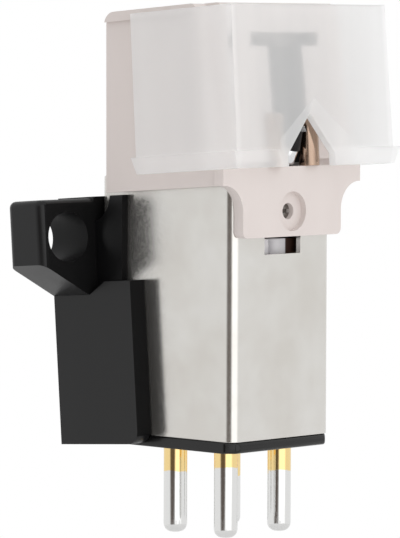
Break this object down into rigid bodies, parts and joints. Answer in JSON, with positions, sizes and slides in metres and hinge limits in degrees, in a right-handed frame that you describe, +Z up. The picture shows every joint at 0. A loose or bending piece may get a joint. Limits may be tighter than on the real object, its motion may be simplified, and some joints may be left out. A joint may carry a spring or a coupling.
{
  "type": "phono cartridge",
  "caption": "Turntable pickup cartridge: bright metal can in a black screw-on bracket, round contact pins, a cream pull-out stylus holder and a clear slide-off guard over the stylus",
  "frame": {"origin": "on the mounting face, midway between the two screw holes", "axes": "X from the mounting face towards the record side, Y across between the two screw holes, Z up towards the stylus end"},
  "size_m": [0.0153, 0.0166, 0.0282],
  "materials": {
    "bracket_plastic": "satin",
    "can_metal": "satin",
    "terminal_plastic": "satin",
    "pin_metal": "polished",
    "core_iron": "satin",
    "bobbin_plastic": "satin",
    "coil_copper": "satin",
    "holder_plastic": "satin",
    "sleeve_metal": "satin",
    "screw_steel": "satin",
    "wire_steel": "satin",
    "damper_rubber": "matte",
    "lever_plastic": "satin",
    "collar_metal": "satin",
    "magnet_alloy": "satin",
    "tip_diamond": "polished",
    "guard_clear": "frosted"
  },
  "bodies": {
    "cartridge_body": {"mount_bracket": "bracket_plastic", "shield_can": "can_metal", "terminal_plate": "terminal_plastic", "pin_left_signal": "pin_metal", "pin_left_ground": "pin_metal", "pin_right_signal": "pin_metal", "pin_right_ground": "pin_metal", "core_left": "core_iron", "core_right": "core_iron", "bobbin_left": "bobbin_plastic", "bobbin_right": "bobbin_plastic", "coil_left": "coil_copper", "coil_right": "coil_copper"},
    "stylus_unit": {"stylus_holder": "holder_plastic", "suspension_sleeve": "sleeve_metal", "set_screw": "screw_steel", "tension_wire": "wire_steel"},
    "damper_ring": {"damper": "damper_rubber"},
    "cantilever_arm": {"cantilever": "lever_plastic", "cantilever_collar": "collar_metal", "magnet_left": "magnet_alloy", "magnet_right": "magnet_alloy", "stylus_tip": "tip_diamond"},
    "guard": {"stylus_guard": "guard_clear"}
  },
  "joints": [
    {"name": "stylus_pull", "type": "slide", "parent": "cartridge_body", "child": "stylus_unit", "axis": [0.0732, 0, 0.9973], "range_m": [0, 0.008]},
    {"name": "guard_pull", "type": "slide", "parent": "stylus_unit", "child": "guard", "axis": [0, 0, 1], "range_m": [0, 0.01]},
    {"name": "cantilever_lift", "type": "hinge", "parent": "stylus_unit", "child": "damper_ring", "pos_m": [0.01186, 0, 0.00174], "axis": [0, 1, 0], "range_deg": [-5, 1], "stiffness_Nm_per_rad": 0.0013},
    {"name": "cantilever_sway", "type": "hinge", "parent": "damper_ring", "child": "cantilever_arm", "pos_m": [0.01186, 0, 0.00174], "axis": [0.8813, 0, -0.4726], "range_deg": [-3, 3], "stiffness_Nm_per_rad": 0.0013}
  ]
}
